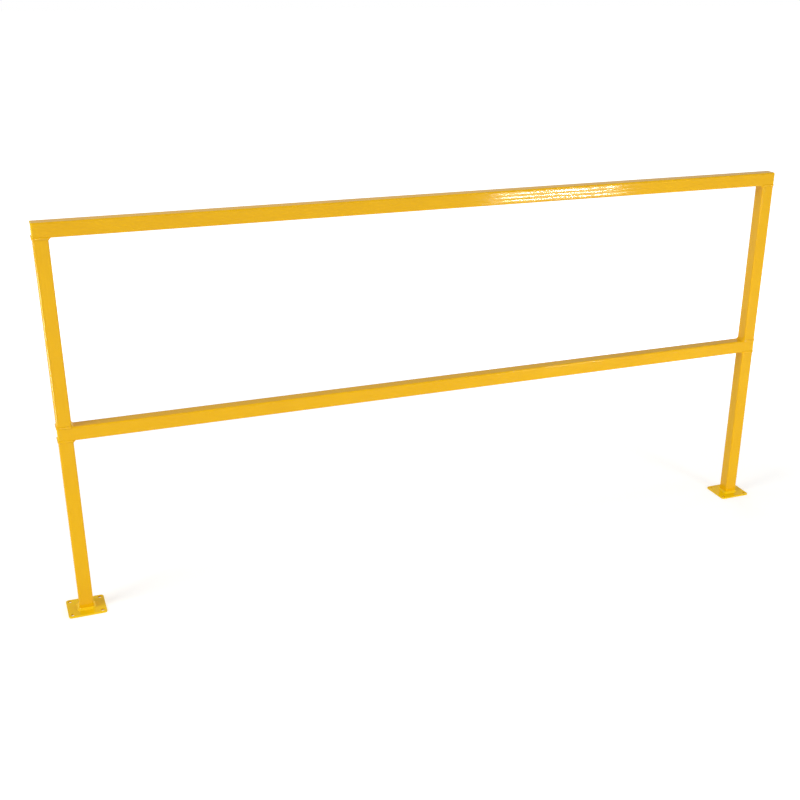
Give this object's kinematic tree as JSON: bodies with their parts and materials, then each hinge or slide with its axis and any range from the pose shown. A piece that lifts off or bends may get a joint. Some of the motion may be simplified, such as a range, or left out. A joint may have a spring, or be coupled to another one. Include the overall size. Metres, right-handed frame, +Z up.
{
  "type": "industrial guard rail",
  "caption": "Free-standing section of square steel guard rail with a top rail and a mid rail between posts on drilled floor plates, welded up and powder coated.",
  "frame": {"origin": "on the floor, midway between the posts, under the rails' centre line", "axes": "+X along the rails, +Z up, -Y towards the side seen in the picture"},
  "size_m": [2.197, 0.0952, 1.0668],
  "materials": {
    "tube_coat": "glossy safety-yellow powder coat over drawn square steel tube, with faint long waves",
    "plate_coat": "glossy safety-yellow powder coat over cut steel plate, slightly thicker at its edges",
    "weld_coat": "glossy safety-yellow powder coat over rippled weld metal"
  },
  "bodies": {
    "root": {"left_base_plate": "plate_coat", "left_foot_weld": "weld_coat", "left_lower_post": "tube_coat", "left_lower_seam_weld": "weld_coat", "left_middle_seam_weld": "weld_coat", "left_top_seam_weld": "weld_coat", "left_upper_post": "tube_coat", "mid_rail": "tube_coat", "mid_rail_left_cap": "plate_coat", "mid_rail_right_cap": "plate_coat", "right_base_plate": "plate_coat", "right_foot_weld": "weld_coat", "right_lower_post": "tube_coat", "right_lower_seam_weld": "weld_coat", "right_middle_seam_weld": "weld_coat", "right_top_seam_weld": "weld_coat", "right_upper_post": "tube_coat", "top_rail": "tube_coat", "top_rail_left_cap": "plate_coat", "top_rail_right_cap": "plate_coat"}
  },
  "joints": []
}
